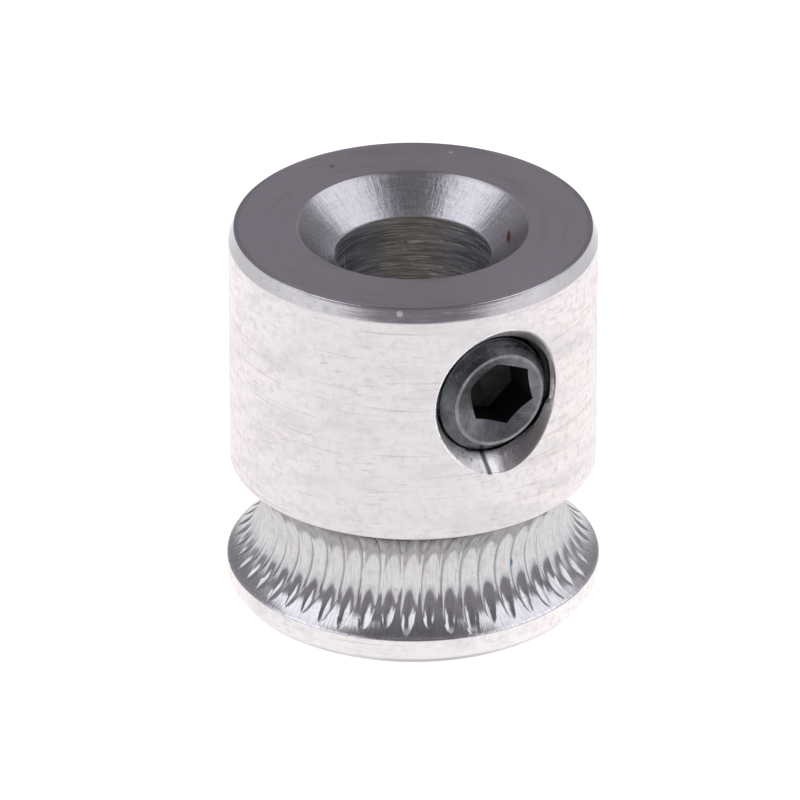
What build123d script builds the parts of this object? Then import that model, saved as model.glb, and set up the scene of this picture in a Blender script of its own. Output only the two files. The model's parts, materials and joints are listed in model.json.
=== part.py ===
"""Hobbed filament drive gear: a turned steel body with a toothed throat, and its set screw.

The origin is at the centre of the flange's lower face, +Z runs up the bore to the
countersunk hub face, and the front is towards -Y. All sizes are in millimetres.
"""

import os
from math import cos, radians, sin, tan

from build123d import *

# Turned body: radii from the bore axis, heights from the flange's lower face
OVERALL_HEIGHT = 13.0
HUB_RADIUS = 6.0
HUB_BOTTOM = 4.66
HUB_EDGE_WIDTH = 0.18
HUB_EDGE_DROP = 0.46
FLANGE_RADIUS = 6.12
FLANGE_TOP = 0.96
BASE_CHAMFER_WIDTH = 0.28
BASE_CHAMFER_HEIGHT = 0.4

# Bore for a 5 mm shaft, with a wide conical mouth in the hub face
BORE_RADIUS = 2.55
MOUTH_RADIUS = 3.8
MOUTH_DEPTH = 1.05
BORE_EDGE_BREAK = 0.2

# Concave throat, and the V-edged hob that cuts its teeth
THROAT_RADIUS = 5.0
THROAT_HEIGHT = (HUB_BOTTOM + FLANGE_TOP) / 2
TOOTH_COUNT = 50
TOOTH_ROOT_RADIUS = 4.84
HOB_RADIUS = 1.92
HOB_HALF_ANGLE = 46.0
HOB_TIP_WIDTH = 0.26
HOB_TILT = 4.0
FIRST_GAP_ANGLE = -90.8

# Radial M4 hole: distances are measured outwards from the bore axis
SCREW_AZIMUTH = 28.3
SCREW_HEIGHT = 9.31
HOLE_RADIUS = 2.0
HOLE_START = 1.2
HOLE_MOUTH_START = 5.38
HOLE_MOUTH_HALF_ANGLE = 42.0
HOLE_END = 6.4
HOLE_THREAD_RADIUS = 2.18

# M4 x 3 set screw: distances are measured from its tip
SCREW_LENGTH = 3.0
SCREW_TIP = 2.82
SCREW_RADIUS = 1.94
SCREW_ROOT_RADIUS = 1.62
HEAD_FACE_RADIUS = 1.6
HEAD_CHAMFER_LENGTH = 0.42
TIP_RADIUS = 1.45
TIP_CHAMFER_LENGTH = 0.4
CUP_RADIUS = 1.0
CUP_DEPTH = 0.5
SOCKET_ACROSS_FLATS = 2.0
SOCKET_DEPTH = 1.5
SOCKET_POINT_DEPTH = 0.3
SOCKET_TURN = 40.0
SOCKET_MOUTH_RADIUS = 1.5
SOCKET_MOUTH_HALF_ANGLE = 60.0
SOCKET_OFFSET = (0.2, 0.08)

# Thread section, shared by the hole and the screw
THREAD_PITCH = 0.7
THREAD_HALF_ANGLE = 30.0
THREAD_ROOT_WIDTH = 0.14
THREAD_OVERRUN = 0.12

screw_axis = Vector(sin(radians(SCREW_AZIMUTH)), -cos(radians(SCREW_AZIMUTH)), 0)
screw_side = Vector(cos(radians(SCREW_AZIMUTH)), sin(radians(SCREW_AZIMUTH)), 0)
hole_plane = Plane(origin=(0, 0, SCREW_HEIGHT), x_dir=screw_side, z_dir=screw_axis)
screw_plane = hole_plane.offset(SCREW_TIP)
socket_plane = Plane(
    origin=screw_plane.from_local_coords((*SOCKET_OFFSET, 0)),
    x_dir=screw_side,
    z_dir=screw_axis,
)


def section_plane(plane):
    """The plane through a round piece's axis: local X is its radius and local Y its length."""
    return Plane(origin=plane.origin, x_dir=plane.x_dir, z_dir=-plane.y_dir)


def helical_bar(plane, wall_radius, root_radius, length):
    """A helical bar of V section, from just past a cylinder's wall to the thread's root."""
    inward = 1 if root_radius < wall_radius else -1
    wall_side = wall_radius + inward * THREAD_OVERRUN
    depth = abs(root_radius - wall_side)
    wide = THREAD_ROOT_WIDTH / 2 + depth * tan(radians(THREAD_HALF_ANGLE))
    narrow = THREAD_ROOT_WIDTH / 2
    with BuildPart() as bar:
        with BuildLine():
            turns = Helix(THREAD_PITCH, length, root_radius, plane.origin, plane.z_dir)
        radial = (turns @ 0) - plane.origin
        section = Plane(origin=turns @ 0, x_dir=radial, z_dir=turns % 0)
        with BuildSketch(section):
            with BuildLine():
                Polyline(
                    (0, -narrow),
                    (wall_side - root_radius, -wide),
                    (wall_side - root_radius, wide),
                    (0, narrow),
                    close=True,
                )
            make_face()
        sweep(path=turns, is_frenet=True)
    return bar.part


# One V-edged disc on a tangential axis, tilted so that each tooth gap leans slightly
hob_offset = TOOTH_ROOT_RADIUS + HOB_RADIUS
hob_plane = Plane(
    origin=(hob_offset, 0, THROAT_HEIGHT),
    x_dir=(1, 0, 0),
    z_dir=(0, sin(radians(HOB_TILT)), cos(radians(HOB_TILT))),
)
hob_half_width = HOB_TIP_WIDTH / 2 + HOB_RADIUS * tan(radians(HOB_HALF_ANGLE))
with BuildPart() as hob:
    with BuildSketch(hob_plane):
        with BuildLine():
            Polyline(
                (0, -hob_half_width),
                (0, hob_half_width),
                (-HOB_RADIUS, HOB_TIP_WIDTH / 2),
                (-HOB_RADIUS, -HOB_TIP_WIDTH / 2),
                close=True,
            )
        make_face()
    revolve(axis=Axis(hob_plane.origin, hob_plane.y_dir))

hole_thread = helical_bar(
    hole_plane.offset(HOLE_START), HOLE_RADIUS, HOLE_THREAD_RADIUS, HOLE_END - HOLE_START
)

with BuildPart() as drive_gear:
    with BuildSketch(Plane.XZ):
        with BuildLine():
            lower_edge = Polyline(
                (BORE_RADIUS, BORE_EDGE_BREAK),
                (BORE_RADIUS + BORE_EDGE_BREAK, 0),
                (FLANGE_RADIUS - BASE_CHAMFER_WIDTH, 0),
                (FLANGE_RADIUS, BASE_CHAMFER_HEIGHT),
                (FLANGE_RADIUS, FLANGE_TOP),
            )
            throat = ThreePointArc(
                lower_edge @ 1, (THROAT_RADIUS, THROAT_HEIGHT), (HUB_RADIUS, HUB_BOTTOM)
            )
            Polyline(
                throat @ 1,
                (HUB_RADIUS, OVERALL_HEIGHT - HUB_EDGE_DROP),
                (HUB_RADIUS - HUB_EDGE_WIDTH, OVERALL_HEIGHT),
                (MOUTH_RADIUS, OVERALL_HEIGHT),
                (BORE_RADIUS, OVERALL_HEIGHT - MOUTH_DEPTH),
                lower_edge @ 0,
            )
        make_face()
    revolve(axis=Axis.Z)
    # Tooth gaps, one pass of the hob each
    with PolarLocations(0, TOOTH_COUNT, start_angle=FIRST_GAP_ANGLE):
        add(hob.part, mode=Mode.SUBTRACT)
    # Tapped hole from the bore to the hub's side, with a conical mouth
    with BuildSketch(section_plane(hole_plane)):
        with BuildLine():
            mouth_growth = (HOLE_END - HOLE_MOUTH_START) * tan(radians(HOLE_MOUTH_HALF_ANGLE))
            Polyline(
                (0, HOLE_START),
                (HOLE_RADIUS, HOLE_START),
                (HOLE_RADIUS, HOLE_MOUTH_START),
                (HOLE_RADIUS + mouth_growth, HOLE_END),
                (0, HOLE_END),
                close=True,
            )
        make_face()
    revolve(axis=Axis(hole_plane.origin, screw_axis), mode=Mode.SUBTRACT)
    add(hole_thread, mode=Mode.SUBTRACT)
drive_gear.part.label = "drive_gear"

screw_thread = helical_bar(
    screw_plane.offset(-THREAD_PITCH / 2),
    SCREW_RADIUS,
    SCREW_ROOT_RADIUS,
    SCREW_LENGTH + THREAD_PITCH,
)

with BuildPart() as set_screw:
    with BuildSketch(section_plane(screw_plane)):
        with BuildLine():
            Polyline(
                (0, CUP_DEPTH),
                (CUP_RADIUS, 0),
                (TIP_RADIUS, 0),
                (SCREW_RADIUS, TIP_CHAMFER_LENGTH),
                (SCREW_RADIUS, SCREW_LENGTH - HEAD_CHAMFER_LENGTH),
                (HEAD_FACE_RADIUS, SCREW_LENGTH),
                (SOCKET_MOUTH_RADIUS, SCREW_LENGTH),
                (0, SCREW_LENGTH - SOCKET_MOUTH_RADIUS / tan(radians(SOCKET_MOUTH_HALF_ANGLE))),
                close=True,
            )
        make_face()
    revolve(axis=Axis(screw_plane.origin, screw_axis))
    # Hexagon socket, slightly off centre, ending in the drill's point
    with BuildSketch(socket_plane.offset(SCREW_LENGTH)):
        RegularPolygon(SOCKET_ACROSS_FLATS / 2, 6, major_radius=False, rotation=SOCKET_TURN)
    extrude(amount=-SOCKET_DEPTH, mode=Mode.SUBTRACT)
    with BuildSketch(section_plane(socket_plane)):
        with BuildLine():
            Polyline(
                (0, SCREW_LENGTH - SOCKET_DEPTH),
                (SOCKET_ACROSS_FLATS / 2, SCREW_LENGTH - SOCKET_DEPTH),
                (0, SCREW_LENGTH - SOCKET_DEPTH - SOCKET_POINT_DEPTH),
                close=True,
            )
        make_face()
    revolve(axis=Axis(socket_plane.origin, screw_axis), mode=Mode.SUBTRACT)
    add(screw_thread, mode=Mode.SUBTRACT)
set_screw.part.label = "set_screw"

os.makedirs("parts", exist_ok=True)
export_step(drive_gear.part, "parts/drive_gear.step")
export_step(set_screw.part, "parts/set_screw.step")
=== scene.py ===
"""Looks of the filament drive gear: detailed meshes, materials, light and camera.

Lengths are in millimetres until a mesh is made, when MM turns them into metres. Angles of the
gear are polar, counter-clockwise from +X seen from above. The hole's own coordinates are
(side, up, out): to the right and up as seen from outside, and outwards from the bore's axis.
"""

import json
import math

import bpy
import numpy as np
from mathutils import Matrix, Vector


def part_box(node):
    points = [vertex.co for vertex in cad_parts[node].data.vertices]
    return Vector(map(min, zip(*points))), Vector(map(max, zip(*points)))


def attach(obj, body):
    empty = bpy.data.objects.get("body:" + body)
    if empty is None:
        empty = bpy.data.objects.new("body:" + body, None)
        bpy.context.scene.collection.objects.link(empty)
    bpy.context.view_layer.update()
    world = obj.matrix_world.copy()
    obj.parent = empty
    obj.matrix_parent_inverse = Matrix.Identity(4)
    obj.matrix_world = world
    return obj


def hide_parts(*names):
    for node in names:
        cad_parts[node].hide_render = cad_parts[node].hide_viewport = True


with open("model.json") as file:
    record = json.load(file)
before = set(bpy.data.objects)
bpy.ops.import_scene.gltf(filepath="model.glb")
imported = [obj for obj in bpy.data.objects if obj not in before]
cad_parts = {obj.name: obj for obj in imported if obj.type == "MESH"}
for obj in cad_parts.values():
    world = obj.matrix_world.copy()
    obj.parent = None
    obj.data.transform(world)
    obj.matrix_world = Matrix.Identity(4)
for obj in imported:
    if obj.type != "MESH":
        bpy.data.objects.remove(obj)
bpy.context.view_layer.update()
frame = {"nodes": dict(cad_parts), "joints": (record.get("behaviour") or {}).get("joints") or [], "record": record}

MM = 0.001
TURN = 2 * math.pi

# ---------------------------------------------------------------- sizes taken from the frame

gear_top = np.array(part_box("drive_gear")[1]) / MM
screw_low, screw_high = (np.array(corner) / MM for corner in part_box("set_screw"))
mounts = {mount["name"]: mount for mount in frame["record"]["mounts"]}
hole_out = np.array(frame["joints"][0]["axis"])
hole_up = np.array([0.0, 0.0, 1.0])
hole_side = np.cross(hole_up, hole_out)
hole_azimuth = math.atan2(hole_out[1], hole_out[0])
screw_points = np.array([v.co for v in frame["nodes"]["set_screw"].data.vertices]) / MM
screw_reach = screw_points @ hole_out

HEIGHT = gear_top[2]
FLANGE_RADIUS = gear_top[0]
BORE_RADIUS = mounts["bore"]["dims"]["r_mm"]
HOLE_HEIGHT = (screw_low[2] + screw_high[2]) / 2
SCREW_TIP = screw_reach.min()
SCREW_FACE = screw_reach.max()

# ---------------------------------------------------------------- sizes of the turned body

HUB_RADIUS = 6.0
HUB_BOTTOM = 4.66
HUB_EDGE_WIDTH = 0.18
HUB_EDGE_DROP = 0.46
FLANGE_TOP = 0.96
BASE_CHAMFER_WIDTH = 0.28
BASE_CHAMFER_HEIGHT = 0.4
MOUTH_RADIUS = 3.8
MOUTH_DEPTH = 1.05
BORE_EDGE_BREAK = 0.2

TOOTH_COUNT = 50
THROAT_RADIUS = 5.0
THROAT_HEIGHT = (HUB_BOTTOM + FLANGE_TOP) / 2
THROAT_HALF_HEIGHT = (HUB_BOTTOM - FLANGE_TOP) / 2
TOOTH_ROOT_RADIUS = 4.84
HOB_RADIUS = 1.92
HOB_TIP_ROUNDING = 0.36
HOB_LEAD = 0.8
HOB_SKEW = 0.3
UPPER_REACH = 0.93
FIRST_GAP = math.radians(-90.8)
LEAST_CREST = 0.03
LEAST_GAP = 0.02
GAP_ANGLE_WANDER = math.radians(0.1)
GAP_DEPTH_WANDER = 0.012
GAP_HEIGHT_WANDER = 0.015

HOLE_RADIUS = 2.0
HOLE_MOUTH_START = 5.38
HOLE_MOUTH_SLOPE = math.tan(math.radians(42))
HOLE_EDGE_WEAR = 0.035
HOLE_THREAD_DEPTH = 0.18
HOLE_THREAD_RINGS = 48
THREAD_PITCH = 0.7

# Material slots of the gear's surfaces and of the screw's
SIDE, EDGE, FACE, MOUTH, BORE, RIM, TEETH, HOLE, BAND = range(9)
OXIDE, SOCKET, RUBBED, CONE = range(4)

rng = np.random.default_rng(7)


# ---------------------------------------------------------------- mesh helpers


def smoothstep(low, high, value):
    """From 0 at low to 1 at high, with no corner at either; low may be the larger."""
    t = np.clip((value - low) / (high - low), 0, 1)
    return t * t * (3 - 2 * t)


def eased(before, corner, after, steps=3):
    """A worn corner: points from before to after that round off the corner between them."""
    t = np.linspace(0, 1, steps + 2)[:, None]
    before, corner, after = (np.array(p, float) for p in (before, corner, after))
    return (1 - t) ** 2 * before + 2 * t * (1 - t) * corner + t**2 * after


def make_object(name, points, faces, materials, face_materials, sharp_angle):
    """One mesh object from points in millimetres, smooth apart from edges past sharp_angle."""
    mesh = bpy.data.meshes.new(name)
    mesh.from_pydata((points * MM).tolist(), [], faces.tolist())
    for material in materials:
        mesh.materials.append(material)
    mesh.polygons.foreach_set("material_index", face_materials)
    mesh.polygons.foreach_set("use_smooth", np.ones(len(faces), bool))
    mesh.set_sharp_from_angle(angle=math.radians(sharp_angle))
    mesh.update()
    piece = bpy.data.objects.new(name, mesh)
    bpy.context.scene.collection.objects.link(piece)
    return piece


def ring_faces(ring_a, ring_b):
    """Quads between two closed rings of vertex numbers."""
    return np.stack([ring_a, np.roll(ring_a, -1), np.roll(ring_b, -1), ring_b], axis=1)


# ---------------------------------------------------------------- gear body: teeth


def circle_through(a, b, c):
    """Centre and radius of the circle through three points of a plane."""
    (ax, ay), (bx, by), (cx, cy) = a, b, c
    d = 2 * (ax * (by - cy) + bx * (cy - ay) + cx * (ay - by))
    a2, b2, c2 = ax * ax + ay * ay, bx * bx + by * by, cx * cx + cy * cy
    x = (a2 * (by - cy) + b2 * (cy - ay) + c2 * (ay - by)) / d
    y = (a2 * (cx - bx) + b2 * (ax - cx) + c2 * (bx - ax)) / d
    return x, y, math.hypot(ax - x, ay - y)


THROAT_ARC = circle_through(
    (FLANGE_RADIUS, FLANGE_TOP), (THROAT_RADIUS, THROAT_HEIGHT), (HUB_RADIUS, HUB_BOTTOM)
)


def throat_radius(z):
    """Radius of the plain turned throat at height z."""
    x, y, r = THROAT_ARC
    return x - math.sqrt(r * r - (z - y) ** 2)


def hob_half_width(depth):
    """Half the width of the hob's rounded tooth at a depth behind its tip, and 0 past the tip."""
    depth = np.clip(depth, 0, HOB_TIP_ROUNDING)
    return np.sqrt(2 * HOB_TIP_ROUNDING * depth - depth**2)


def hob_depth(half_width):
    """The inverse of hob_half_width."""
    half_width = np.minimum(half_width, HOB_TIP_ROUNDING)
    return HOB_TIP_ROUNDING - np.sqrt(HOB_TIP_ROUNDING**2 - half_width**2)


# Where the columns of one tooth gap stand, as shares of its half width, and of the land after it
GAP_SHARES = np.array([-1.0, -0.78, -0.46, -0.15, 0.15, 0.46, 0.78, 1.0])
LAND_SHARES = np.array([0.12, 0.88])
COLUMNS_PER_TOOTH = len(GAP_SHARES) + len(LAND_SHARES)
COLUMNS = TOOTH_COUNT * COLUMNS_PER_TOOTH
PITCH = TURN / TOOTH_COUNT
EVEN_ANGLES = FIRST_GAP - PITCH / 2 + np.arange(COLUMNS) * TURN / COLUMNS
gap_wander = rng.normal(0, GAP_ANGLE_WANDER, TOOTH_COUNT)
gap_depth = rng.normal(0, GAP_DEPTH_WANDER, TOOTH_COUNT)
gap_height = rng.normal(0, GAP_HEIGHT_WANDER, TOOTH_COUNT)


# Columns follow the gaps up to the first distance from the throat's middle height, and are evenly
# spaced from the second on
GAPS_UP_TO = THROAT_HALF_HEIGHT - 0.06
EVEN_FROM = THROAT_HALF_HEIGHT - 0.01


def tooth_row(z):
    """Angles and radii of every column at one height of the toothed throat.

    Each gap leans as the hob's helical tooth does, its deepest line moves aside towards its ends,
    and its upper end reaches a little further than its lower one.
    """
    hob_centre = TOOTH_ROOT_RADIUS + HOB_RADIUS
    plain = throat_radius(z)
    rise = z - THROAT_HEIGHT + gap_height
    lean = np.arcsin(np.clip(rise / HOB_RADIUS, -1, 1)) * HOB_LEAD / TURN
    skew = -HOB_SKEW * rise / HOB_RADIUS
    rise = np.where(rise > 0, rise * UPPER_REACH, rise)
    reach = HOB_RADIUS + gap_depth
    turned = reach - np.hypot(hob_centre - plain, rise)
    half_width = np.maximum(hob_half_width(turned), LEAST_GAP)
    centre = FIRST_GAP + np.arange(TOOTH_COUNT) * PITCH + gap_wander
    centre = centre + lean / plain
    gap_after = (np.roll(centre, -1) - centre) % TURN * plain
    gap_before = np.roll(gap_after, 1)
    width = np.minimum(half_width, (np.minimum(gap_after, gap_before) - LEAST_CREST) / 2)
    shares = GAP_SHARES[None, :]
    stretch = np.where(shares < 0, 1 - skew[:, None], 1 + skew[:, None])
    offsets = width[:, None] * (shares * stretch - skew[:, None])
    behind_tip = reach[:, None] - hob_depth(np.abs(shares) * width[:, None])
    inside = np.maximum(behind_tip**2 - rise[:, None] ** 2, 1e-9)
    cut = np.minimum(hob_centre - np.sqrt(inside), plain)
    cut = np.where(turned[:, None] > 0, cut, plain)
    gap_angles = centre[:, None] + offsets / plain
    land_width = gap_after - width - np.roll(width, -1)
    land_angles = (centre + width / plain)[:, None] + LAND_SHARES * land_width[:, None] / plain
    land_ends = cut[:, -1:], np.roll(cut[:, 0], -1)[:, None]
    land_radii = land_ends[0] + LAND_SHARES * (land_ends[1] - land_ends[0])
    angles = np.concatenate([gap_angles, land_angles], axis=1).ravel()
    radii = np.concatenate([cut, land_radii], axis=1).ravel()
    spread = smoothstep(GAPS_UP_TO, EVEN_FROM, abs(z - THROAT_HEIGHT))
    turn_off = (EVEN_ANGLES - angles + math.pi) % TURN - math.pi
    return angles + spread * turn_off, radii


def throat_heights():
    """Heights of the toothed rows, closest together where the gaps run out."""
    run_out_from = THROAT_HALF_HEIGHT - 0.05
    run_out_to = THROAT_HALF_HEIGHT - 0.55
    run_out = np.linspace(run_out_from, run_out_to, 15)
    middle = np.linspace(run_out_to - 0.08, 0, 13)
    upper = np.concatenate([run_out, middle])
    offsets = np.concatenate([-upper, upper[::-1][1:]])
    return THROAT_HEIGHT + offsets


# ---------------------------------------------------------------- gear body: all of it

# Rows and columns of the windows in the hub's side and in the bore that the hole's mesh fills
HUB_WINDOW = np.linspace(HOLE_HEIGHT - 3.05, HOLE_HEIGHT + 2.9, 11)
BORE_WINDOW = np.linspace(HOLE_HEIGHT - 2.5, HOLE_HEIGHT + 2.45, 11)
WINDOW_HALF_COLUMNS = 92
# Where the rings between a window's border (1) and the hole's edge (0) stand
HUB_SHARES = (0.8, 0.6, 0.42, 0.28, 0.17, 0.09, 0.035, 0.01)
BORE_SHARES = (0.02, 0.08, 0.2, 0.4, 0.7)
# Edges that turn by more than this, in degrees, are sharp
GEAR_SHARP_ANGLE = 34


def body_profile():
    """(radius, height, material slot) of each plain row, from the hub's lower edge round to the rim."""
    hub_top = HEIGHT - HUB_EDGE_DROP
    face_edge = HUB_RADIUS - HUB_EDGE_WIDTH
    edge_slope = HUB_EDGE_DROP / HUB_EDGE_WIDTH
    mouth_floor = HEIGHT - MOUTH_DEPTH
    mouth_slope = (MOUTH_RADIUS - BORE_RADIUS) / MOUTH_DEPTH
    foot = BORE_RADIUS + BORE_EDGE_BREAK
    base_edge = FLANGE_RADIUS - BASE_CHAMFER_WIDTH
    start = HUB_BOTTOM - 0.03
    end = FLANGE_TOP + 0.03
    rows = []

    def run(slot, points):
        rows.extend((r, z, slot) for r, z in points)

    def worn(slot, steps, before, corner, after):
        run(slot, eased(before, corner, after, steps))

    def chamfer_at(radius):
        """The point of the hub's chamfer at a radius."""
        return radius, HEIGHT - (radius - face_edge) * edge_slope

    def mouth_at(depth):
        """The point of the countersink at a depth below the face."""
        return MOUTH_RADIUS - depth * mouth_slope, HEIGHT - depth

    hub_corner = (HUB_RADIUS, HUB_BOTTOM)
    worn(SIDE, 3, (throat_radius(start), start), hub_corner, (HUB_RADIUS, HUB_BOTTOM + 0.05))
    run(SIDE, [(HUB_RADIUS, HUB_BOTTOM + rise) for rise in (0.12, 0.54, 1.14)])
    run(SIDE, [(HUB_RADIUS, z) for z in (*HUB_WINDOW, hub_top - 0.07)])
    chamfer_foot = (HUB_RADIUS - 0.01, hub_top + 0.025)
    worn(EDGE, 3, (HUB_RADIUS, hub_top - 0.025), (HUB_RADIUS, hub_top), chamfer_foot)
    run(EDGE, [chamfer_at(HUB_RADIUS - 0.03), chamfer_at(face_edge + 0.04)])
    worn(EDGE, 3, chamfer_at(face_edge + 0.015), (face_edge, HEIGHT), (face_edge - 0.05, HEIGHT))
    run(FACE, [(r, HEIGHT) for r in np.linspace(face_edge - 0.15, MOUTH_RADIUS + 0.12, 4)])
    worn(FACE, 2, (MOUTH_RADIUS + 0.03, HEIGHT), (MOUTH_RADIUS, HEIGHT), mouth_at(0.02))
    run(MOUTH, [mouth_at(depth) for depth in np.linspace(0.06, MOUTH_DEPTH - 0.08, 6)])
    bore_top = (BORE_RADIUS, mouth_floor)
    worn(BORE, 2, mouth_at(MOUTH_DEPTH - 0.025), bore_top, (BORE_RADIUS, mouth_floor - 0.03))
    run(BORE, [(BORE_RADIUS, z) for z in (*BORE_WINDOW[::-1], 5.0, 2.7, 0.4)])
    break_top = (BORE_RADIUS, BORE_EDGE_BREAK)
    break_slope = (BORE_RADIUS + 0.03, BORE_EDGE_BREAK - 0.03)
    worn(EDGE, 2, (BORE_RADIUS, BORE_EDGE_BREAK + 0.03), break_top, break_slope)
    worn(FACE, 2, (foot - 0.02, 0.02), (foot, 0), (foot + 0.03, 0))
    run(FACE, [(r, 0) for r in np.linspace(foot + 0.2, base_edge - 0.12, 5)])
    worn(EDGE, 3, (base_edge - 0.04, 0), (base_edge, 0), (base_edge + 0.025, 0.04))
    run(BAND, [(base_edge + BASE_CHAMFER_WIDTH / 2, BASE_CHAMFER_HEIGHT / 2)])
    band_foot = (FLANGE_RADIUS, BASE_CHAMFER_HEIGHT)
    below = (FLANGE_RADIUS - 0.03, BASE_CHAMFER_HEIGHT - 0.047)
    worn(BAND, 3, below, band_foot, (FLANGE_RADIUS, BASE_CHAMFER_HEIGHT + 0.06))
    run(BAND, [(FLANGE_RADIUS, z) for z in np.linspace(0.6, FLANGE_TOP - 0.09, 4)])
    rim_corner = (FLANGE_RADIUS, FLANGE_TOP)
    worn(RIM, 3, (FLANGE_RADIUS, FLANGE_TOP - 0.025), rim_corner, (throat_radius(end), end))
    return rows


def to_world(side, up, out):
    """Points in the hole's coordinates, as points of the row frame."""
    place = np.outer(side, hole_side) + np.outer(up, hole_up) + np.outer(out, hole_out)
    return place + np.array([0, 0, HOLE_HEIGHT])


def on_cylinder(radius, angles, heights):
    """Points about the bore's axis."""
    return np.stack([radius * np.cos(angles), radius * np.sin(angles), heights], axis=1)


def thread_wave(turns):
    """From 0 at a thread's crest to 1 at its root, for a position counted in pitches."""
    t = np.abs((turns % 1) - 0.5) * 2
    return smoothstep(0.1, 0.85, 1 - t)


# Repeated substitution finds where the hole meets the hub, and where its thread meets the bore
HUB_MEET_STEPS = 40
BORE_MEET_STEPS = 30
BORE_MEET_GUESS = 2.0


def hole_rings(angle):
    """Rings from the hub's surface down the mouth and the thread to the bore, as point arrays."""

    def hub_ring(radius):
        side = radius * np.cos(angle)
        return to_world(side, radius * np.sin(angle), np.sqrt(HUB_RADIUS**2 - side**2))

    def cone_out(radius):
        return HOLE_MOUTH_START + (radius - HOLE_RADIUS) / HOLE_MOUTH_SLOPE

    meet = np.full_like(angle, HOLE_RADIUS)
    for _ in range(HUB_MEET_STEPS):
        out = np.sqrt(HUB_RADIUS**2 - (meet * np.cos(angle)) ** 2)
        meet = HOLE_RADIUS + (out - HOLE_MOUTH_START) * HOLE_MOUTH_SLOPE
    outer = hub_ring(meet + HOLE_EDGE_WEAR)
    corner = hub_ring(meet)
    lower = np.maximum(meet - HOLE_EDGE_WEAR, HOLE_RADIUS + 0.02)
    inner = to_world(lower * np.cos(angle), lower * np.sin(angle), cone_out(lower))
    rings = [outer, (outer + 2 * corner + inner) / 4, inner]
    thread_from = HOLE_RADIUS + HOLE_THREAD_DEPTH + 0.02
    for share in (0.3, 0.6, 0.85):
        radius = np.maximum(lower + share * (thread_from - lower), thread_from)
        rings.append(to_world(radius * np.cos(angle), radius * np.sin(angle), cone_out(radius)))

    def wall_radius(out):
        cone = HOLE_RADIUS + (out - HOLE_MOUTH_START) * HOLE_MOUTH_SLOPE
        groove = HOLE_THREAD_DEPTH * thread_wave(out / THREAD_PITCH - angle / TURN)
        return np.maximum(cone, HOLE_RADIUS + groove)

    thread_start = cone_out(np.minimum(np.full_like(angle, thread_from), lower))
    bore_end = np.full_like(angle, BORE_MEET_GUESS)
    for _ in range(BORE_MEET_STEPS):
        side = wall_radius(bore_end) * np.cos(angle)
        bore_end = 0.5 * bore_end + 0.5 * np.sqrt(BORE_RADIUS**2 - side**2)
    for share in np.linspace(0, 1, HOLE_THREAD_RINGS):
        out = thread_start + share * (bore_end - thread_start)
        radius = wall_radius(out)
        rings.append(to_world(radius * np.cos(angle), radius * np.sin(angle), out))
    return rings


def window_border(numbers, rows_upwards, first, last):
    """Vertex numbers round a window, from its lower right corner up, left, down and right."""
    columns = np.arange(first, last + 1) % COLUMNS
    right = [numbers[row, columns[-1]] for row in rows_upwards[:-1]]
    top = [numbers[rows_upwards[-1], c] for c in columns[:0:-1]]
    left = [numbers[row, columns[0]] for row in rows_upwards[:0:-1]]
    bottom = [numbers[rows_upwards[0], c] for c in columns[:-1]]
    return np.array(right + top + left + bottom)


def unrolled(points):
    """Angles about the hole's azimuth and heights of points on a cylinder."""
    angles = np.arctan2(points[:, 1], points[:, 0]) - hole_azimuth
    return (angles + math.pi) % TURN - math.pi, points[:, 2]


def patch_rings(border, ring, radius, shares):
    """Rings on a cylinder between a window's border (share 1) and the hole's edge (share 0)."""
    border_angle, border_height = unrolled(border)
    ring_angle, ring_height = unrolled(ring)
    rings = []
    for share in shares:
        angles = ring_angle + share * (border_angle - ring_angle)
        heights = ring_height + share * (border_height - ring_height)
        rings.append(on_cylinder(radius, angles + hole_azimuth, heights))
    return rings


def gear_grid():
    """Points of the plain and the toothed rows, and each row's material slot."""
    rows = body_profile()
    angles = [EVEN_ANGLES] * len(rows)
    radii = [np.full(COLUMNS, radius) for radius, _, _ in rows]
    heights = [height for _, height, _ in rows]
    slots = [slot for _, _, slot in rows]
    for height in throat_heights():
        row_angles, row_radii = tooth_row(height)
        angles.append(row_angles)
        radii.append(row_radii)
        heights.append(height)
        slots.append(TEETH)
    angles, radii = np.array(angles), np.array(radii)
    heights = np.broadcast_to(np.array(heights)[:, None], radii.shape)
    return np.stack([radii * np.cos(angles), radii * np.sin(angles), heights], axis=-1), slots


def rows_at(radius, heights):
    """Numbers of the plain rows on a cylinder at some heights."""
    outline = np.array([(r, z) for r, z, _ in body_profile()])
    off_cylinder = 10 * abs(outline[:, 0] - radius)
    return [int(np.argmin(abs(outline[:, 1] - z) + off_cylinder)) for z in heights]


def hole_tube(hub_border, bore_border):
    """Rings between the two windows' borders, through the hole, and the slot of each gap's faces."""
    size = len(hub_border)
    right_side = len(HUB_WINDOW) - 1
    angle = (np.arange(size) - right_side / 2) * TURN / size
    middle = hole_rings(angle)
    outer = patch_rings(hub_border, middle[0], HUB_RADIUS, HUB_SHARES)
    inner = patch_rings(bore_border, middle[-1], BORE_RADIUS, BORE_SHARES)
    slots = [SIDE] * (len(outer) + 1) + [HOLE] * (len(middle) - 1) + [BORE] * (len(inner) + 1)
    return outer + middle + inner, slots


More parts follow.
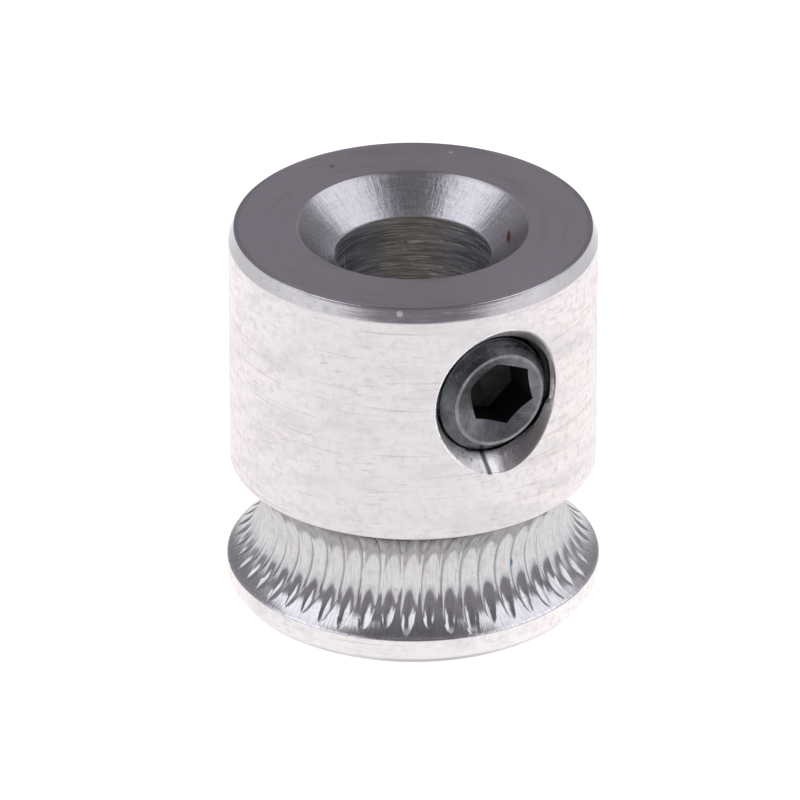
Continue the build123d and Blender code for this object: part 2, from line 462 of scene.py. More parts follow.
def build_gear(materials):
    """The whole gear body as one closed mesh."""
    grid, row_slots = gear_grid()
    count = len(grid)
    numbers = np.arange(count * COLUMNS).reshape(count, COLUMNS)
    points = grid.reshape(-1, 3)

    hole_column = round((hole_azimuth - EVEN_ANGLES[0]) % TURN / (TURN / COLUMNS))
    first = hole_column - WINDOW_HALF_COLUMNS
    last = hole_column + WINDOW_HALF_COLUMNS
    window_columns = np.arange(first, last) % COLUMNS
    cut = np.zeros((count, COLUMNS), bool)
    borders = []
    for window_rows in (rows_at(HUB_RADIUS, HUB_WINDOW), rows_at(BORE_RADIUS, BORE_WINDOW)):
        cut[np.ix_(np.arange(min(window_rows), max(window_rows)), window_columns)] = True
        borders.append(window_border(numbers, window_rows, first, last))

    faces, face_slots = [], []

    def add_faces(quads, slot):
        faces.append(quads)
        face_slots.append(np.full(len(quads), slot))

    for row, slot in enumerate(row_slots):
        add_faces(ring_faces(numbers[row], numbers[(row + 1) % count])[~cut[row]], slot)

    hub_border, bore_border = borders
    tube, tube_slots = hole_tube(points[hub_border], points[bore_border])
    tube_numbers = len(points) + np.arange(len(tube) * len(hub_border)).reshape(len(tube), -1)
    rings = [hub_border, *tube_numbers, bore_border]
    for slot, ring_a, ring_b in zip(tube_slots, rings, rings[1:]):
        add_faces(ring_faces(ring_a, ring_b), slot)

    points = np.concatenate([points] + tube)
    faces, face_slots = np.concatenate(faces), np.concatenate(face_slots)
    used = np.zeros(len(points), bool)
    used[faces.ravel()] = True
    renumber = np.cumsum(used) - 1
    return make_object(
        "gear_body", points[used], renumber[faces], materials, face_slots, GEAR_SHARP_ANGLE
    )


# ---------------------------------------------------------------- set screw

SCREW_COLUMNS = 120
SCREW_THREAD_RINGS = 76
SCREW_RADIUS = 1.94
SCREW_THREAD_DEPTH = 0.3
THREAD_START_ANGLE = math.radians(110)
THREAD_START_TURN = 0.25
HEAD_FACE_RADIUS = 1.6
HEAD_CHAMFER_LENGTH = 0.42
TIP_RADIUS = 1.45
TIP_CHAMFER_LENGTH = 0.4
CUP_RADIUS = 1.0
CUP_DEPTH = 0.5
SOCKET_HALF_FLATS = 1.0
SOCKET_DEPTH = 1.5
SOCKET_POINT_DEPTH = 0.3
SOCKET_POINT_SHARE = 0.75
SOCKET_TURN = math.radians(40)
SOCKET_MOUTH_RADIUS = 1.5
SOCKET_MOUTH_SLOPE = math.tan(math.radians(60))
SOCKET_OFFSET = np.array([0.2, 0.08])
# Edges that turn by more than this, in degrees, are sharp
SCREW_SHARP_ANGLE = 38


def thread_radius(angle, along):
    """Radius of the threaded length at a distance from the tip; the thread fades out at its ends."""
    length = SCREW_FACE - SCREW_TIP
    tip_share = min(along / TIP_CHAMFER_LENGTH, 1)
    from_tip = TIP_RADIUS + (SCREW_RADIUS - TIP_RADIUS) * tip_share
    head_share = min((length - along) / HEAD_CHAMFER_LENGTH, 1)
    from_head = HEAD_FACE_RADIUS + (SCREW_RADIUS - HEAD_FACE_RADIUS) * head_share
    turns = (SCREW_TIP + along) / THREAD_PITCH - angle / TURN - THREAD_START_TURN
    start = (0.5 + 0.5 * np.cos(angle - THREAD_START_ANGLE)) ** 2
    fade = smoothstep(0, 0.3, along)
    fade = fade * smoothstep(length - 0.4 + 0.35 * start, length - 0.9 + 0.6 * start, along)
    root = SCREW_RADIUS - SCREW_THREAD_DEPTH * fade * thread_wave(turns)
    return np.minimum(min(from_tip, from_head), root)


def screw_outside(angle):
    """Rings from the cup over the thread to the head's face, and their material slots."""
    length = SCREW_FACE - SCREW_TIP
    cup = [(share * CUP_RADIUS, CUP_DEPTH * (1 - share)) for share in (0.04, 0.3, 0.6, 0.97)]
    tip = [(radius, 0) for radius in (CUP_RADIUS + 0.02, 1.2, TIP_RADIUS - 0.03)]
    thread_places = np.linspace(0.02, length - 0.02, SCREW_THREAD_RINGS)
    thread = [(thread_radius(angle, along), along) for along in thread_places]
    worn_edge = eased(
        (HEAD_FACE_RADIUS + 0.012, length - 0.015),
        (HEAD_FACE_RADIUS, length),
        (HEAD_FACE_RADIUS - 0.02, length),
        2,
    )
    head = [*worn_edge, (SOCKET_MOUTH_RADIUS + 0.02, length)]
    rings = []
    for radius, along in cup + tip + thread + head:
        radius = np.broadcast_to(radius, angle.shape)
        out = np.broadcast_to(SCREW_TIP + along, angle.shape)
        rings.append((radius * np.cos(angle), radius * np.sin(angle), out))
    slots = [OXIDE] * len(cup + tip + thread) + [RUBBED] * len(head)
    return rings, slots


def screw_socket(angle):
    """Rings from the socket's conical mouth down the hexagon to its floor, and their slots."""
    centre = SOCKET_OFFSET[:, None]
    around = np.stack([np.cos(angle), np.sin(angle)])
    reach = SOCKET_HALF_FLATS / np.cos((angle - SOCKET_TURN) % (TURN / 6) - TURN / 12)
    hexagon = reach * around + centre
    circle = SOCKET_MOUTH_RADIUS * around
    rings, slots = [], []

    def add(place, depth, slot):
        rings.append((place[0], place[1], SCREW_FACE - depth))
        slots.append(slot)

    def cone_depth(place):
        return (SOCKET_MOUTH_RADIUS - np.hypot(*place)) / SOCKET_MOUTH_SLOPE

    for share in (0.0, 0.05, 0.4, 0.75, 0.96, 1.0):
        place = circle + share * (hexagon - circle)
        add(place, cone_depth(place), CONE)
    wall_top = cone_depth(hexagon)
    for share in (0.04, 0.3, 0.6, 0.9, 0.99):
        add(hexagon, wall_top + share * (SOCKET_DEPTH - wall_top), SOCKET)
    for share in (0.98, 0.7, 0.4, 0.05):
        drill_point = SOCKET_POINT_DEPTH * max(1 - share / SOCKET_POINT_SHARE, 0)
        depth = np.full_like(angle, SOCKET_DEPTH + drill_point)
        add(centre + share * (hexagon - centre), depth, SOCKET)
    return rings, slots


def build_screw(materials):
    """The cup-point set screw with its helical thread and hexagon socket."""
    angle = SOCKET_TURN + np.arange(SCREW_COLUMNS) * TURN / SCREW_COLUMNS
    outside, outside_slots = screw_outside(angle)
    socket, socket_slots = screw_socket(angle)
    rings = outside + socket
    slots = outside_slots + socket_slots
    points = np.concatenate([to_world(*ring) for ring in rings])
    numbers = np.arange(len(points)).reshape(len(rings), SCREW_COLUMNS)
    faces = [ring_faces(a, b) for a, b in zip(numbers, numbers[1:])]
    face_slots = np.repeat(slots[:-1], SCREW_COLUMNS)
    tip_centre, floor_centre = len(points), len(points) + 1
    ends = to_world(
        np.array([0, SOCKET_OFFSET[0]]),
        np.array([0, SOCKET_OFFSET[1]]),
        np.array([SCREW_TIP + CUP_DEPTH, SCREW_FACE - SOCKET_DEPTH - SOCKET_POINT_DEPTH]),
    )
    points = np.concatenate([points, ends])
    faces = np.concatenate(faces).tolist()
    for j in range(SCREW_COLUMNS):
        k = (j + 1) % SCREW_COLUMNS
        faces.append([tip_centre, numbers[0, k], numbers[0, j]])
        faces.append([numbers[-1, j], numbers[-1, k], floor_centre])
    face_slots = np.concatenate([face_slots, np.tile([OXIDE, SOCKET], SCREW_COLUMNS)])
    return make_object(
        "socket_screw",
        points,
        np.array(faces, dtype=object),
        materials,
        face_slots.astype(np.int32),
        SCREW_SHARP_ANGLE,
    )


# ---------------------------------------------------------------- materials

# Places of the small marks on the gear; the two spots on the chamfer's edge and on the face that are lighter than
# the steel are painted highlights
RUST_SPECK = (3.09, 0.2, HEIGHT - 0.55)
EDGE_NICK_HIGHLIGHT = (-0.44, -5.87, HEIGHT - 0.16)
BORE_SCRATCH = (-2.24, 1.2, HEIGHT - 2.0)
DYE_SPECKS = ((3.18, -3.68, 2.52), (5.06, -1.43, 1.62))
DARK_PIT = (-2.65, 4.1, HEIGHT)
PIT_HIGHLIGHT = (1.24, 5.1, HEIGHT)


class Nodes:
    """Short calls for building one material's or the world's node tree."""

    def __init__(self, tree):
        self.tree = tree
        tree.nodes.clear()

    def node(self, kind, **settings):
        made = self.tree.nodes.new(kind)
        for name, value in settings.items():
            setattr(made, name, value)
        return made

    def feed(self, value, socket):
        if isinstance(value, bpy.types.NodeSocket):
            self.tree.links.new(value, socket)
        else:
            socket.default_value = value

    def maths(self, operation, a, b=0.0, c=0.0, clamp=False):
        made = self.node("ShaderNodeMath", operation=operation, use_clamp=clamp)
        for value, socket in zip((a, b, c), made.inputs):
            self.feed(value, socket)
        return made.outputs[0]

    def vector(self, x, y, z):
        made = self.node("ShaderNodeCombineXYZ")
        for value, socket in zip((x, y, z), made.inputs):
            self.feed(value, socket)
        return made.outputs[0]

    def noise(self, vector, scale, detail=3.0, roughness=0.55, distortion=0.0):
        made = self.node("ShaderNodeTexNoise")
        self.feed(vector, made.inputs["Vector"])
        made.inputs["Scale"].default_value = scale
        made.inputs["Detail"].default_value = detail
        made.inputs["Roughness"].default_value = roughness
        made.inputs["Distortion"].default_value = distortion
        return made.outputs["Fac"]

    def ramp(self, value, low, high, at_low=0.0, at_high=1.0):
        made = self.node("ShaderNodeMapRange", clamp=True)
        self.feed(value, made.inputs["Value"])
        for name, number in zip(
            ("From Min", "From Max", "To Min", "To Max"), (low, high, at_low, at_high)
        ):
            self.feed(number, made.inputs[name])
        return made.outputs["Result"]

    def mix(self, factor, a, b, blend="MIX"):
        made = self.node("ShaderNodeMix", data_type="RGBA", blend_type=blend)
        self.feed(factor, made.inputs["Factor"])
        self.feed(a, made.inputs["A"])
        self.feed(b, made.inputs["B"])
        return made.outputs["Result"]

    def bump(self, height, depth):
        """A normal for marks of a depth in millimetres."""
        made = self.node("ShaderNodeBump")
        made.inputs["Strength"].default_value = 1.0
        made.inputs["Distance"].default_value = depth * MM
        self.feed(height, made.inputs["Height"])
        return made.outputs["Normal"]

    def shape(self, operation, a, b):
        """A vector operation on a socket and a constant vector."""
        made = self.node("ShaderNodeVectorMath", operation=operation)
        self.feed(a, made.inputs[0])
        made.inputs[1].default_value = b
        return made.outputs["Value" if operation == "DOT_PRODUCT" else "Vector"]

    def show(self, shader, output_kind):
        """Makes a shader the tree's result."""
        output = self.node(output_kind)
        self.feed(shader.outputs[0], output.inputs["Surface"])


def lathe_coordinates(nodes):
    """Object coordinates in millimetres: the position, x, y, z and the distance from the bore's axis."""
    place = nodes.node("ShaderNodeTexCoord").outputs["Object"]
    scaled = nodes.node("ShaderNodeVectorMath", operation="SCALE")
    nodes.feed(place, scaled.inputs[0])
    scaled.inputs["Scale"].default_value = 1 / MM
    split = nodes.node("ShaderNodeSeparateXYZ")
    nodes.feed(scaled.outputs[0], split.inputs[0])
    x, y, z = split.outputs
    squares = nodes.maths("MULTIPLY_ADD", x, x, nodes.maths("MULTIPLY", y, y))
    return scaled.outputs[0], x, y, z, nodes.maths("SQRT", squares)


def turned_vector(nodes, x, y, z, radius, across, along):
    """A noise position that varies fast across the turning marks and slowly along them."""
    return nodes.vector(
        nodes.maths("MULTIPLY_ADD", radius, across, nodes.maths("MULTIPLY", x, along)),
        nodes.maths("MULTIPLY_ADD", z, across, nodes.maths("MULTIPLY", y, along)),
        nodes.maths("MULTIPLY", nodes.maths("SUBTRACT", x, y), along),
    )


def patch(nodes, place, centre, stretch, radius):
    """1 inside a small soft-edged mark about a point, 0 outside it; stretch gives its proportions."""
    away = nodes.shape("DIVIDE", nodes.shape("SUBTRACT", place, centre), stretch)
    length = nodes.node("ShaderNodeVectorMath", operation="LENGTH")
    nodes.feed(away, length.inputs[0])
    return nodes.ramp(length.outputs["Value"], radius, radius * 0.55)


def stripe(nodes, value, centre, half_width):
    """1 where a value is near a centre, 0 away from it."""
    off = nodes.maths("ABSOLUTE", nodes.maths("SUBTRACT", value, centre))
    return nodes.ramp(off, half_width, half_width * 0.4)


def metal_shader(nodes, color, roughness, normal, anisotropic=0.0):
    """Bare metal; with anisotropic, its highlights stretch as turning marks make them."""
    shader = nodes.node("ShaderNodeBsdfPrincipled")
    nodes.feed(color, shader.inputs["Base Color"])
    shader.inputs["Metallic"].default_value = 1.0
    nodes.feed(roughness, shader.inputs["Roughness"])
    nodes.feed(normal, shader.inputs["Normal"])
    if anisotropic:
        tangent = nodes.node("ShaderNodeTangent", direction_type="RADIAL", axis="Z")
        nodes.feed(tangent.outputs[0], shader.inputs["Tangent"])
        shader.inputs["Anisotropic"].default_value = anisotropic
        shader.inputs["Anisotropic Rotation"].default_value = 0.25
    nodes.show(shader, "ShaderNodeOutputMaterial")


def new_material(name):
    """An empty material and its nodes."""
    material = bpy.data.materials.new(name)
    material.use_nodes = True
    return material, Nodes(material.node_tree)


def faced_steel(name):
    """Faced steel: fine marks round the axis, faint stains, one dark pit and a painted highlight on another pit.
    """
    material, nodes = new_material(name)
    place, x, y, z, radius = lathe_coordinates(nodes)
    fine = nodes.noise(turned_vector(nodes, x, y, z, radius, 10.0, 0.3), 1.0, 4.0, 0.6)
    broad = nodes.noise(turned_vector(nodes, x, y, z, radius, 1.6, 0.18), 1.0, 3.0)
    smudge = nodes.noise(place, 0.55, 4.0, 0.6, 0.4)
    grain = nodes.noise(place, 22.0, 2.0)
    stain = nodes.ramp(broad, 0.52, 0.72)
    stain = nodes.maths("MULTIPLY", stain, nodes.ramp(smudge, 0.4, 0.62))
    tone = nodes.maths("MULTIPLY_ADD", nodes.ramp(fine, 0.55, 0.8), 0.35, stain, clamp=True)
    shade = nodes.mix(tone, (0.52, 0.505, 0.53, 1), (0.43, 0.41, 0.43, 1))
    dark_pit = patch(nodes, place, DARK_PIT, (1, 1, 1), 0.13)
    shade = nodes.mix(dark_pit, shade, (0.3, 0.28, 0.28, 1))
    # Painted highlight: a near-white spot where a pit catches the light
    pit_highlight = patch(nodes, place, PIT_HIGHLIGHT, (1, 1, 1), 0.08)
    shade = nodes.mix(pit_highlight, shade, (0.95, 0.95, 0.97, 1))
    rough = nodes.ramp(smudge, 0.3, 0.7, 0.24, 0.35)
    rough = nodes.maths("ADD", rough, nodes.ramp(fine, 0.3, 0.7, -0.03, 0.05))
    height = nodes.maths("MULTIPLY_ADD", grain, 0.12, nodes.maths("ADD", fine, broad))
    metal_shader(nodes, shade, rough, nodes.bump(height, 0.0025), 0.6)
    return material


def scuffed_steel(name, painted_light_gain):
    """Bright turned steel: a soft mottle, short brownish nicks round the axis and long fine lines, with a painted
    rosy sheen towards the left and right; a gain scales its colours to paint more or less light on each copy.
    """
    material, nodes = new_material(name)
    place, x, y, z, radius = lathe_coordinates(nodes)
    mottle = nodes.noise(place, 4.0, 4.0, 0.65)
    cloud = nodes.noise(turned_vector(nodes, x, y, z, radius, 1.4, 0.45), 1.0, 3.0)
    nicks = nodes.noise(turned_vector(nodes, x, y, z, radius, 8.5, 1.1), 1.0, 3.0, 0.65)
    lines = nodes.noise(turned_vector(nodes, x, y, z, radius, 9.0, 0.14), 1.0, 2.0, 0.6)
    patches = nodes.noise(turned_vector(nodes, x, y, z, radius, 0.9, 0.3), 1.0, 2.0)
    # The gain scales these colours, painting more or less light onto each copy of this steel
    pale = [part * painted_light_gain for part in (0.69, 0.672, 0.685)]
    rosy_sheen = [part * painted_light_gain for part in (0.82, 0.765, 0.77)]
    grey = [part * painted_light_gain for part in (0.585, 0.565, 0.578)]
    # Painted sheen: paler, rosier colour towards the left and right of the hub as seen from the front
    sheen_toward_sides = nodes.maths("ABSOLUTE", nodes.maths("ADD", x, 0.6))
    shade = nodes.mix(nodes.ramp(sheen_toward_sides, 2.0, 5.8), (*pale, 1), (*rosy_sheen, 1))
    shade = nodes.mix(nodes.ramp(mottle, 0.48, 0.78), shade, (*grey, 1))
    shade = nodes.mix(nodes.ramp(cloud, 0.48, 0.84), shade, (*grey, 1))
    strength = nodes.ramp(patches, 0.38, 0.6, 0.12, 0.6)
    marks = nodes.maths("MULTIPLY", nodes.ramp(nicks, 0.56, 0.74), strength)
    marks = nodes.maths("MAXIMUM", marks, nodes.ramp(lines, 0.6, 0.72, 0.0, 0.42))
    shade = nodes.mix(marks, shade, (0.43, 0.35, 0.31, 1))
    height = nodes.maths("MULTIPLY_ADD", mottle, 0.6, nodes.maths("ADD", nicks, lines))
    normal = nodes.bump(height, 0.003)
    rough = nodes.ramp(mottle, 0.3, 0.7, 0.28, 0.38)
    metal_shader(nodes, shade, rough, normal, 0.3)
    return material


def chamfered_steel(name):
    """The hub's top chamfer: smooth steel with painted shade at its sides and front, and a painted highlight on
    one nicked spot of the edge.
    """
    material, nodes = new_material(name)
    place, x, y, z, radius = lathe_coordinates(nodes)
    lines = nodes.noise(turned_vector(nodes, x, y, z, radius, 9.0, 0.5), 1.0, 4.0, 0.65)
    blotches = nodes.noise(place, 2.2, 4.0, 0.65)
    # Painted shade towards the left and right ends of the chamfer
    sides = nodes.ramp(nodes.maths("ABSOLUTE", x), 3.9, 5.3)
    shade = nodes.mix(sides, (0.59, 0.575, 0.605, 1), (0.44, 0.435, 0.46, 1))
    # Painted shade at the front of the chamfer
    front = nodes.ramp(nodes.maths("ABSOLUTE", nodes.maths("SUBTRACT", x, 0.6)), 2.3, 1.1)
    shade = nodes.mix(nodes.maths("MULTIPLY", front, 0.7), shade, (0.4, 0.39, 0.41, 1))
    worn = nodes.maths("MAXIMUM", nodes.ramp(lines, 0.5, 0.7), nodes.ramp(blotches, 0.5, 0.7))
    shade = nodes.mix(nodes.maths("MULTIPLY", worn, 0.55), shade, (0.4, 0.385, 0.405, 1))
    # Painted highlight: a white spot where a nicked spot on the edge catches the light
    nick_highlight = patch(nodes, place, EDGE_NICK_HIGHLIGHT, (1, 1, 1), 0.13)
    shade = nodes.mix(nick_highlight, shade, (1, 1, 1, 1))
    normal = nodes.bump(nodes.maths("ADD", lines, blotches), 0.0035)
    rough = nodes.ramp(blotches, 0.3, 0.7, 0.1, 0.2)
    metal_shader(nodes, shade, rough, normal)
    return material


def chattered_steel(name):
    """The countersink: broken chatter marks down the slope, over finer turning marks, with painted shade at the
    front towards the left and right.
    """
    material, nodes = new_material(name)
    place, x, y, z, radius = lathe_coordinates(nodes)
    around = nodes.vector(
        nodes.maths("DIVIDE", x, radius),
        nodes.maths("DIVIDE", y, radius),
        nodes.maths("MULTIPLY", radius, 0.09),
    )
    streaks = nodes.noise(around, 40.0, 4.0, 0.65, 0.3)
    waves = nodes.noise(around, 11.0, 2.0)
    rings = nodes.noise(turned_vector(nodes, x, y, z, radius, 9.0, 0.8), 1.0, 4.0, 0.65)
    height = nodes.maths("MULTIPLY_ADD", waves, 1.2, streaks)
    height = nodes.maths("MULTIPLY_ADD", rings, 0.9, height)
    normal = nodes.bump(height, 0.007)
    rough = nodes.ramp(rings, 0.3, 0.7, 0.17, 0.3)
    shade = nodes.mix(nodes.ramp(streaks, 0.5, 0.75), (0.52, 0.515, 0.54, 1), (0.38, 0.37, 0.4, 1))
    # Painted shade: darker at the front, towards the left and right
    side = nodes.ramp(nodes.maths("ABSOLUTE", x), 1.9, 3.2)
    front = nodes.ramp(y, 1.2, -0.4)
    shade = nodes.mix(nodes.maths("MULTIPLY", side, front), shade, (0.27, 0.255, 0.27, 1))
    rust = patch(nodes, place, RUST_SPECK, (0.16, 1, 1), 0.5)
    shade = nodes.mix(rust, shade, (0.2, 0.03, 0.02, 1))
    metal_shader(nodes, shade, rough, normal)
    return material


def bored_steel(name):
    """The bore: fine bright drill rings on brown-grey steel, with a painted reflection tint that turns bluish
    towards its sides.
    """
    material, nodes = new_material(name)
    place, x, y, z, radius = lathe_coordinates(nodes)
    rings = nodes.noise(turned_vector(nodes, x, y, z, radius, 7.5, 0.4), 1.0, 4.0, 0.7)
    fine = nodes.noise(turned_vector(nodes, x, y, z, radius, 16.0, 0.6), 1.0, 3.0, 0.6)
    blotches = nodes.noise(place, 1.6, 3.0, 0.6)
    # Painted reflection tint: warmer where the bore faces the camera, bluish towards its left and right
    middle = nodes.ramp(nodes.maths("ABSOLUTE", x), 1.7, 0.5)
    shade = nodes.mix(middle, (0.6, 0.615, 0.67, 1), (0.66, 0.61, 0.54, 1))
    dull = nodes.mix(0.6, shade, (0.2, 0.185, 0.17, 1))
    shade = nodes.mix(nodes.ramp(rings, 0.4, 0.6), dull, shade)
    bright = nodes.maths("MULTIPLY", nodes.ramp(fine, 0.54, 0.64), nodes.ramp(blotches, 0.4, 0.55))
    shade = nodes.mix(bright, shade, (1.0, 0.97, 0.92, 1))
    scratch = patch(nodes, place, BORE_SCRATCH, (0.09, 0.2, 1), 0.34)
    shade = nodes.mix(scratch, shade, (1, 1, 1, 1))
    rough = nodes.ramp(rings, 0.3, 0.7, 0.38, 0.55)
    normal = nodes.bump(nodes.maths("ADD", rings, fine), 0.016)
    metal_shader(nodes, shade, rough, normal, 0.4)
    return material


def cut_steel(name, painted_light_gain, fineness, streak_depth, roughness):
    """Steel cut down its slope: bright, with fine streaks down the cut, a few pits and blue specks; a gain scales
    its clean colour to paint more or less light on each copy.
    """
    material, nodes = new_material(name)
    place, x, y, z, radius = lathe_coordinates(nodes)
    down = nodes.vector(
        nodes.maths("MULTIPLY", nodes.maths("DIVIDE", x, radius), fineness),
        nodes.maths("MULTIPLY", nodes.maths("DIVIDE", y, radius), fineness),
        nodes.maths("MULTIPLY", z, 1.3),
    )
    streaks = nodes.noise(down, 1.0, 3.0, 0.6, 0.2)
    pits = nodes.noise(place, 7.0, 3.0, 0.6)
    # The gain scales the clean colour, painting more or less light onto each copy of this steel
    clean = [part * painted_light_gain for part in (0.62, 0.615, 0.628)]
    shade = nodes.mix(nodes.ramp(streaks, 0.5, 0.75), (*clean, 1), (0.42, 0.41, 0.415, 1))
    shade = nodes.mix(nodes.ramp(pits, 0.62, 0.78), shade, (0.36, 0.33, 0.31, 1))
    mottle = nodes.noise(place, 2.8, 4.0, 0.65)
    shade = nodes.mix(nodes.ramp(mottle, 0.5, 0.7), shade, (0.5, 0.49, 0.5, 1))
    for centre in DYE_SPECKS:
        speck = patch(nodes, place, centre, (0.6, 0.6, 1), 0.16)
        shade = nodes.mix(speck, shade, (0.05, 0.22, 0.42, 1))
    height = nodes.maths("MULTIPLY_ADD", pits, 0.25, streaks)
    normal = nodes.bump(height, streak_depth)
    rough = nodes.maths("ADD", roughness, nodes.ramp(streaks, 0.3, 0.7, -0.03, 0.05))
    ends = nodes.ramp(nodes.maths("ABSOLUTE", x), 4.3, 5.8, 0.0, 0.12)
    metal_shader(nodes, shade, nodes.maths("ADD", rough, ends), normal)
    return material


def tapped_steel(name):
    """The tapped hole and its mouth: pale mottled steel painted light on the left and shaded on the right, with a
    dark stripe beside a painted bright streak at the lower edge.
    """
    material, nodes = new_material(name)
    place, _, _, z, _ = lathe_coordinates(nodes)
    side = nodes.shape("DOT_PRODUCT", place, hole_side.tolist())
    low = nodes.ramp(z, HOLE_HEIGHT - 1.3, HOLE_HEIGHT - 1.9)
    lower_half = nodes.ramp(z, HOLE_HEIGHT, HOLE_HEIGHT - 1.0)
    film = nodes.noise(place, 1.8, 4.0, 0.65, 0.5)
    scratches = nodes.noise(place, 8.0, 3.0, 0.6, 1.2)
    # The near-white base colour paints light on the left of the mouth; the masks below paint shade on the right
    shade = nodes.mix(nodes.ramp(film, 0.4, 0.6), (1.0, 0.99, 1.0, 1), (0.8, 0.79, 0.8, 1))
    shade = nodes.mix(nodes.ramp(scratches, 0.56, 0.7), shade, (0.3, 0.28, 0.27, 1))
    # Painted shade on the lower right of the mouth
    lower_right = nodes.maths("MULTIPLY", nodes.ramp(side, -0.1, 0.2), lower_half)
    shade = nodes.mix(lower_right, shade, (0.33, 0.315, 0.32, 1))
    # Painted shade on the upper right of the mouth
    upper_half = nodes.ramp(z, HOLE_HEIGHT - 0.6, HOLE_HEIGHT + 0.2)
    upper_right = nodes.maths("MULTIPLY", nodes.ramp(side, 0.4, 1.1), upper_half)
    shade = nodes.mix(upper_right, shade, (0.4, 0.385, 0.395, 1))
    # A dark stripe at the lower edge
    low_dark_stripe = nodes.maths("MULTIPLY", low, stripe(nodes, side, -0.42, 0.12))
    shade = nodes.mix(low_dark_stripe, shade, (0.16, 0.15, 0.15, 1))
    # Painted highlight: a bright streak at the lower edge, beside the dark stripe
    burr_highlight = nodes.maths("MULTIPLY", low, stripe(nodes, side, -0.2, 0.14))
    shade = nodes.mix(burr_highlight, shade, (0.95, 0.94, 0.95, 1))
    normal = nodes.bump(scratches, 0.014)
    rough = nodes.ramp(film, 0.3, 0.7, 0.3, 0.42)
    metal_shader(nodes, shade, rough, normal)
    return material


def oxide_steel(name, color, worn, roughness):
    """Black-oxide steel: a dark bluish film with thinner, brighter patches."""
    material, nodes = new_material(name)
    place, *_ = lathe_coordinates(nodes)
    film = nodes.noise(place, 2.2, 4.0, 0.6, 0.4)
    grain = nodes.noise(place, 13.0, 3.0, 0.6)
    shade = nodes.mix(nodes.ramp(film, 0.4, 0.65), (*color, 1), (*worn, 1))
    rough = nodes.maths("ADD", roughness, nodes.ramp(grain, 0.3, 0.7, -0.05, 0.08))
    normal = nodes.bump(nodes.maths("MULTIPLY_ADD", film, 0.8, grain), 0.012)
    metal_shader(nodes, shade, rough, normal)
    return material


def floor_material():
    """A white sweep that is lit from below as well as from above."""
    material, nodes = new_material("white_sweep")
    place = nodes.node("ShaderNodeTexCoord").outputs["Object"]
    grain = nodes.noise(place, 900.0, 2.0)
    shader = nodes.node("ShaderNodeBsdfPrincipled")
    shader.inputs["Base Color"].default_value = (0.3, 0.3, 0.3, 1)
    shader.inputs["Roughness"].default_value = 0.8
    shader.inputs["Specular IOR Level"].default_value = 0.1
    shader.inputs["Emission Color"].default_value = (1.0, 0.985, 0.975, 1)
    shader.inputs["Emission Strength"].default_value = 1.0
    nodes.feed(nodes.bump(grain, 0.002), shader.inputs["Normal"])
    nodes.show(shader, "ShaderNodeOutputMaterial")
    return material


# ---------------------------------------------------------------- light, floor and camera

# In metres, except for the camera's lens and sensor, which are in millimetres
SOFTBOX_DISTANCE = 0.5
SOFTBOX_HEIGHT = 0.3
SOFTBOX_COLOR = (0.98, 0.99, 1.04)
SWEEP_REACH = 3.0
CAMERA_ELEVATION = math.radians(28.555)
CAMERA_DISTANCE = 0.3567
CAMERA_AIM = (-0.00043, 0.0, 0.006526)
CAMERA_LENS = 491.5
CAMERA_SENSOR = 36


def build_world():
    """A grey studio that is white low down at the front and the sides, and darker overhead."""
    world = bpy.data.worlds.new("studio")
    world.use_nodes = True
    bpy.context.scene.world = world
    nodes = Nodes(world.node_tree)
    direction = nodes.node("ShaderNodeTexCoord").outputs["Generated"]
    split = nodes.node("ShaderNodeSeparateXYZ")
    nodes.feed(direction, split.inputs[0])
    x, y, z = split.outputs
    aside = nodes.ramp(nodes.maths("ABSOLUTE", nodes.maths("SUBTRACT", x, 0.08)), 0.4, 0.9)
    base = nodes.mix(nodes.ramp(z, 0.6, 0.95), (0.32, 0.3, 0.335, 1), (0.19, 0.18, 0.2, 1))
    low = nodes.ramp(nodes.maths("MULTIPLY_ADD", aside, -0.13, z), 0.195, 0.12)
    white = nodes.mix(aside, (1.0, 0.99, 1.0, 1), (1.1, 1.09, 1.11, 1))
    back = nodes.mix(nodes.ramp(x, -0.4, 0.4), (0.26, 0.25, 0.27, 1), (0.45, 0.44, 0.47, 1))
    white = nodes.mix(nodes.ramp(y, 0.45, 0.8), white, back)
    studio = nodes.mix(low, base, white)
    background = nodes.node("ShaderNodeBackground")
    nodes.feed(studio, background.inputs["Color"])
    nodes.show(background, "ShaderNodeOutputWorld")


def add_softbox(name, direction, width, radiance):
    """A rectangular softbox of a given width and radiance, facing the gear."""
    lamp = bpy.data.lights.new(name, "AREA")
    lamp.shape = "RECTANGLE"
    lamp.size = width
    lamp.size_y = SOFTBOX_HEIGHT
    lamp.energy = radiance * math.pi * width * SOFTBOX_HEIGHT
    lamp.color = SOFTBOX_COLOR
    box = bpy.data.objects.new(name, lamp)
    away = np.array(direction) / np.linalg.norm(direction)
    gear_middle = np.array([0, 0, HEIGHT / 2 * MM])
    box.location = (gear_middle + away * SOFTBOX_DISTANCE).tolist()
    box.rotation_euler = Vector((-away).tolist()).to_track_quat("-Z", "Y").to_euler()
    bpy.context.scene.collection.objects.link(box)


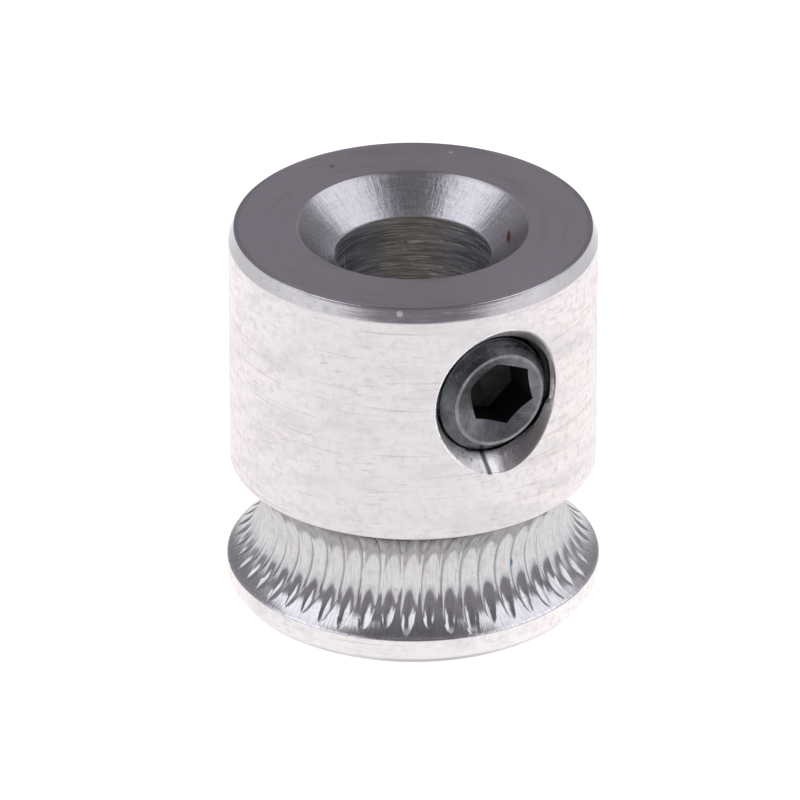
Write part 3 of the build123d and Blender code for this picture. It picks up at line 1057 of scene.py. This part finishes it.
def build_floor():
    """A plain square floor, under the gear and out of its view's edges."""
    mesh = bpy.data.meshes.new("sweep")
    corners = [(x * SWEEP_REACH, y * SWEEP_REACH, 0) for x, y in ((-1, -1), (1, -1), (1, 1), (-1, 1))]
    mesh.from_pydata(corners, [], [(0, 1, 2, 3)])
    mesh.materials.append(floor_material())
    floor = bpy.data.objects.new("sweep", mesh)
    bpy.context.scene.collection.objects.link(floor)


def build_camera():
    """A long lens in front of the gear, looking down on it."""
    data = bpy.data.cameras.new("camera")
    data.sensor_width = CAMERA_SENSOR
    data.lens = CAMERA_LENS
    data.clip_start = 0.01
    camera = bpy.data.objects.new("camera", data)
    back = (0, -math.cos(CAMERA_ELEVATION), math.sin(CAMERA_ELEVATION))
    camera.location = [a + b * CAMERA_DISTANCE for a, b in zip(CAMERA_AIM, back)]
    camera.rotation_euler = (math.pi / 2 - CAMERA_ELEVATION, 0, 0)
    bpy.context.scene.collection.objects.link(camera)
    bpy.context.scene.camera = camera


# ---------------------------------------------------------------- the scene

build_camera()
build_world()
add_softbox("softbox_left", (-0.63, -0.07, 0.775), 0.42, 1.22)
add_softbox("softbox_right", (0.639, 0.067, 0.766), 0.52, 1.13)
build_floor()
bpy.context.scene.view_settings.view_transform = "Standard"

# turned_side and flange_band, and hobbed_teeth and turned_rim, are copies of one steel with different painted
# light
gear_materials = [
    scuffed_steel("turned_side", 1.0),
    chamfered_steel("turned_chamfer"),
    faced_steel("faced_top"),
    chattered_steel("countersink"),
    bored_steel("drilled_bore"),
    cut_steel("turned_rim", 1.12, 90.0, 0.006, 0.16),
    cut_steel("hobbed_teeth", 0.97, 130.0, 0.0035, 0.15),
    tapped_steel("tapped_hole"),
    scuffed_steel("flange_band", 1.12),
]
gear = build_gear(gear_materials)
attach(gear, "gear")
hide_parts("drive_gear")

screw_materials = [
    oxide_steel("black_oxide", (0.075, 0.08, 0.09), (0.125, 0.128, 0.14), 0.28),
    # The socket's oxide is a darker copy of the black oxide: painted shade inside the hex socket
    oxide_steel("socket_shaded_oxide", (0.035, 0.035, 0.037), (0.05, 0.05, 0.052), 0.6),
    oxide_steel("rubbed_oxide", (0.16, 0.165, 0.175), (0.27, 0.272, 0.28), 0.26),
    oxide_steel("mouth_oxide", (0.115, 0.12, 0.132), (0.185, 0.188, 0.2), 0.3),
]
screw = build_screw(screw_materials)
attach(screw, "screw")
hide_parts("set_screw")
